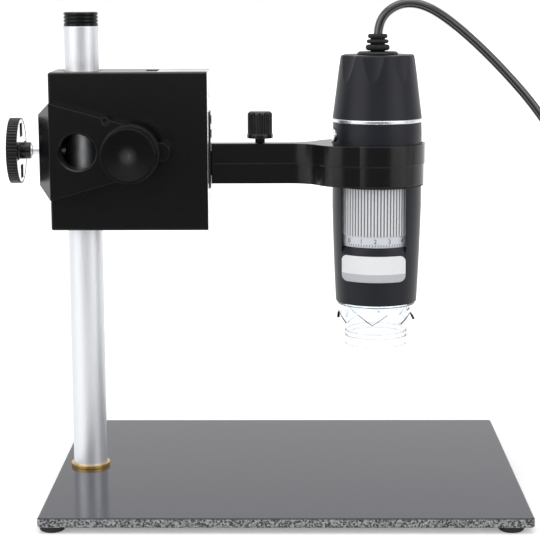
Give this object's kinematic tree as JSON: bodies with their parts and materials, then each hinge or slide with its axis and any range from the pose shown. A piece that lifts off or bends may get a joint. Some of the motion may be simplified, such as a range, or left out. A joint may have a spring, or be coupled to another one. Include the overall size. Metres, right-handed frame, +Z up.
{
  "type": "handheld usb microscope with rack stand",
  "caption": "Handheld USB microscope held in the ring of a rack-and-pinion focusing stand on a flat plate, with its cable and plug.",
  "frame": {"origin": "centre of the plate's top face, where the specimen lies", "axes": "+Z up from the plate, +X from the pole towards the microscope, +Y to the back, away from the focus knob in front"},
  "size_m": [0.2624, 0.1358, 0.1819],
  "materials": {
    "plate_laminate": "glossy dark grey top with a speckled edge",
    "foot_rubber": "matte black",
    "pole_aluminium": "satin turned",
    "brass": "polished",
    "black_plastic": "matte black",
    "gloss_black_plastic": "glossy black",
    "black_paint": "satin black",
    "bright_aluminium": "machined",
    "steel": "brushed",
    "chrome": "polished",
    "bronze": "sintered",
    "clear_plastic": "clear moulded plastic",
    "white_label": "gloss white",
    "board_green": "solder mask",
    "led_white": "clear lens",
    "lens_glass": "coated",
    "white_plastic": "glossy white",
    "cable_jacket": "semi-gloss black vinyl",
    "silver_plastic": "silver plated"
  },
  "bodies": {
    "base": {"base_plate": "plate_laminate", "feet": "foot_rubber", "pole": "pole_aluminium", "pole_ring": "brass", "pole_cap": "gloss_black_plastic", "pole_screw": "steel"},
    "pole_bush_pair": {"pole_bushes": "bronze"},
    "carrier": {"block_housing": "black_paint", "shaft_bushes": "bronze", "bracket": "black_paint", "bracket_screws": "black_paint"},
    "clamp_shoe": {"clamp_pad": "steel"},
    "clamp": {"clamp_screw": "chrome", "clamp_hub": "black_plastic", "clamp_wheel": "black_plastic", "clamp_wheel_face": "silver_plastic"},
    "focus_shaft": {"pinion_shaft": "steel", "pinion_gear": "brass", "front_knob": "black_plastic", "rear_knob": "black_plastic", "knob_set_screws": "steel"},
    "slide": {"focus_slide": "bright_aluminium", "rack": "brass", "rack_screws": "steel", "arm_mount": "black_paint", "mount_rivets": "black_paint"},
    "arm": {"arm": "black_plastic"},
    "arm_lock_shoe": {"arm_lock_pad": "white_plastic"},
    "arm_lock": {"arm_lock_screw": "steel", "arm_lock_knob": "gloss_black_plastic"},
    "liner": {"ring_liner": "foot_rubber"},
    "microscope": {"front_shell": "black_plastic", "back_shell": "black_plastic", "shell_screws": "steel", "trim_ring": "chrome", "upper_cap": "black_plastic", "cap_collar": "black_plastic", "strain_relief": "foot_rubber", "label_plate": "white_label", "hood": "clear_plastic", "led_board": "board_green", "leds": "led_white", "chassis": "black_plastic", "sensor_board": "board_green", "image_sensor": "gloss_black_plastic", "board_chips": "gloss_black_plastic", "button_switch": "steel", "switch_board": "board_green", "cable": "cable_jacket", "cable_coil": "cable_jacket", "cable_lead": "cable_jacket", "cable_tie": "black_plastic", "plug_body": "cable_jacket", "plug_shell": "steel", "plug_tongue": "white_plastic"},
    "focus_wheel": {"focus_wheel": "silver_plastic", "scale_ring": "silver_plastic"},
    "lens_unit": {"lens_carriage": "black_plastic", "lenses": "lens_glass"},
    "button": {"snapshot_button": "silver_plastic"}
  },
  "joints": [
    {"name": "stand_height", "type": "slide", "parent": "base", "child": "pole_bush_pair", "axis": [0, 0, 1], "range_m": [-0.03, 0.016]},
    {"name": "head_swivel", "type": "hinge", "parent": "pole_bush_pair", "child": "carrier", "pos_m": [-0.075, 0, 0.1221], "axis": [0, 0, 1], "range_deg": [-35, 35]},
    {"name": "clamp_travel", "type": "slide", "parent": "carrier", "child": "clamp_shoe", "axis": [-1, 0, 0], "range_m": [0, 0.0008]},
    {"name": "clamp_turn", "type": "hinge", "parent": "clamp_shoe", "child": "clamp", "pos_m": [-0.095, 0, 0.12095], "axis": [-1, 0, 0], "range_deg": [0, 360]},
    {"name": "focus_travel", "type": "slide", "parent": "carrier", "child": "slide", "axis": [0, 0, 1], "range_m": [-0.012, 0.012]},
    {"name": "focus_knob_turn", "type": "hinge", "parent": "carrier", "child": "focus_shaft", "pos_m": [-0.0553, 0, 0.1221], "axis": [0, 1, 0], "range_deg": [-143.3, 143.3]},
    {"name": "arm_reach", "type": "slide", "parent": "slide", "child": "arm", "axis": [1, 0, 0], "range_m": [0, 0.015]},
    {"name": "arm_lock_travel", "type": "slide", "parent": "arm", "child": "arm_lock_shoe", "axis": [0, 0, 1], "range_m": [0, 0.0005]},
    {"name": "arm_lock_turn", "type": "hinge", "parent": "arm_lock_shoe", "child": "arm_lock", "pos_m": [-0.0094, 0, 0.12505], "axis": [0, 0, 1], "range_deg": [0, 360]},
    {"name": "ring_turn", "type": "hinge", "parent": "arm", "child": "liner", "pos_m": [0.034, 0, 0.11605], "axis": [0, 0, 1], "range_deg": [-15, 15]},
    {"name": "body_height", "type": "slide", "parent": "liner", "child": "microscope", "axis": [0, 0, 1], "range_m": [0, 0.008]},
    {"name": "focus_wheel_turn", "type": "hinge", "parent": "microscope", "child": "focus_wheel", "pos_m": [0.034, 0, 0.097], "axis": [0, 0, 1], "range_deg": [-140, 140]},
    {"name": "lens_travel", "type": "slide", "parent": "microscope", "child": "lens_unit", "axis": [0, 0, 1], "range_m": [-0.007, 0.007]},
    {"name": "button_press", "type": "slide", "parent": "microscope", "child": "button", "axis": [0.9659, 0.2588, 0], "range_m": [0, 0.0005], "stiffness_N_per_m": 600, "springref_m": -0.0001}
  ],
  "couplings": [
    {"joint": "clamp_turn", "follows": "clamp_travel", "rad_per_m": 7853.9},
    {"joint": "focus_knob_turn", "follows": "focus_travel", "rad_per_m": -208.33},
    {"joint": "arm_lock_turn", "follows": "arm_lock_travel", "rad_per_m": 12566},
    {"joint": "focus_wheel_turn", "follows": "lens_travel", "rad_per_m": 349}
  ]
}
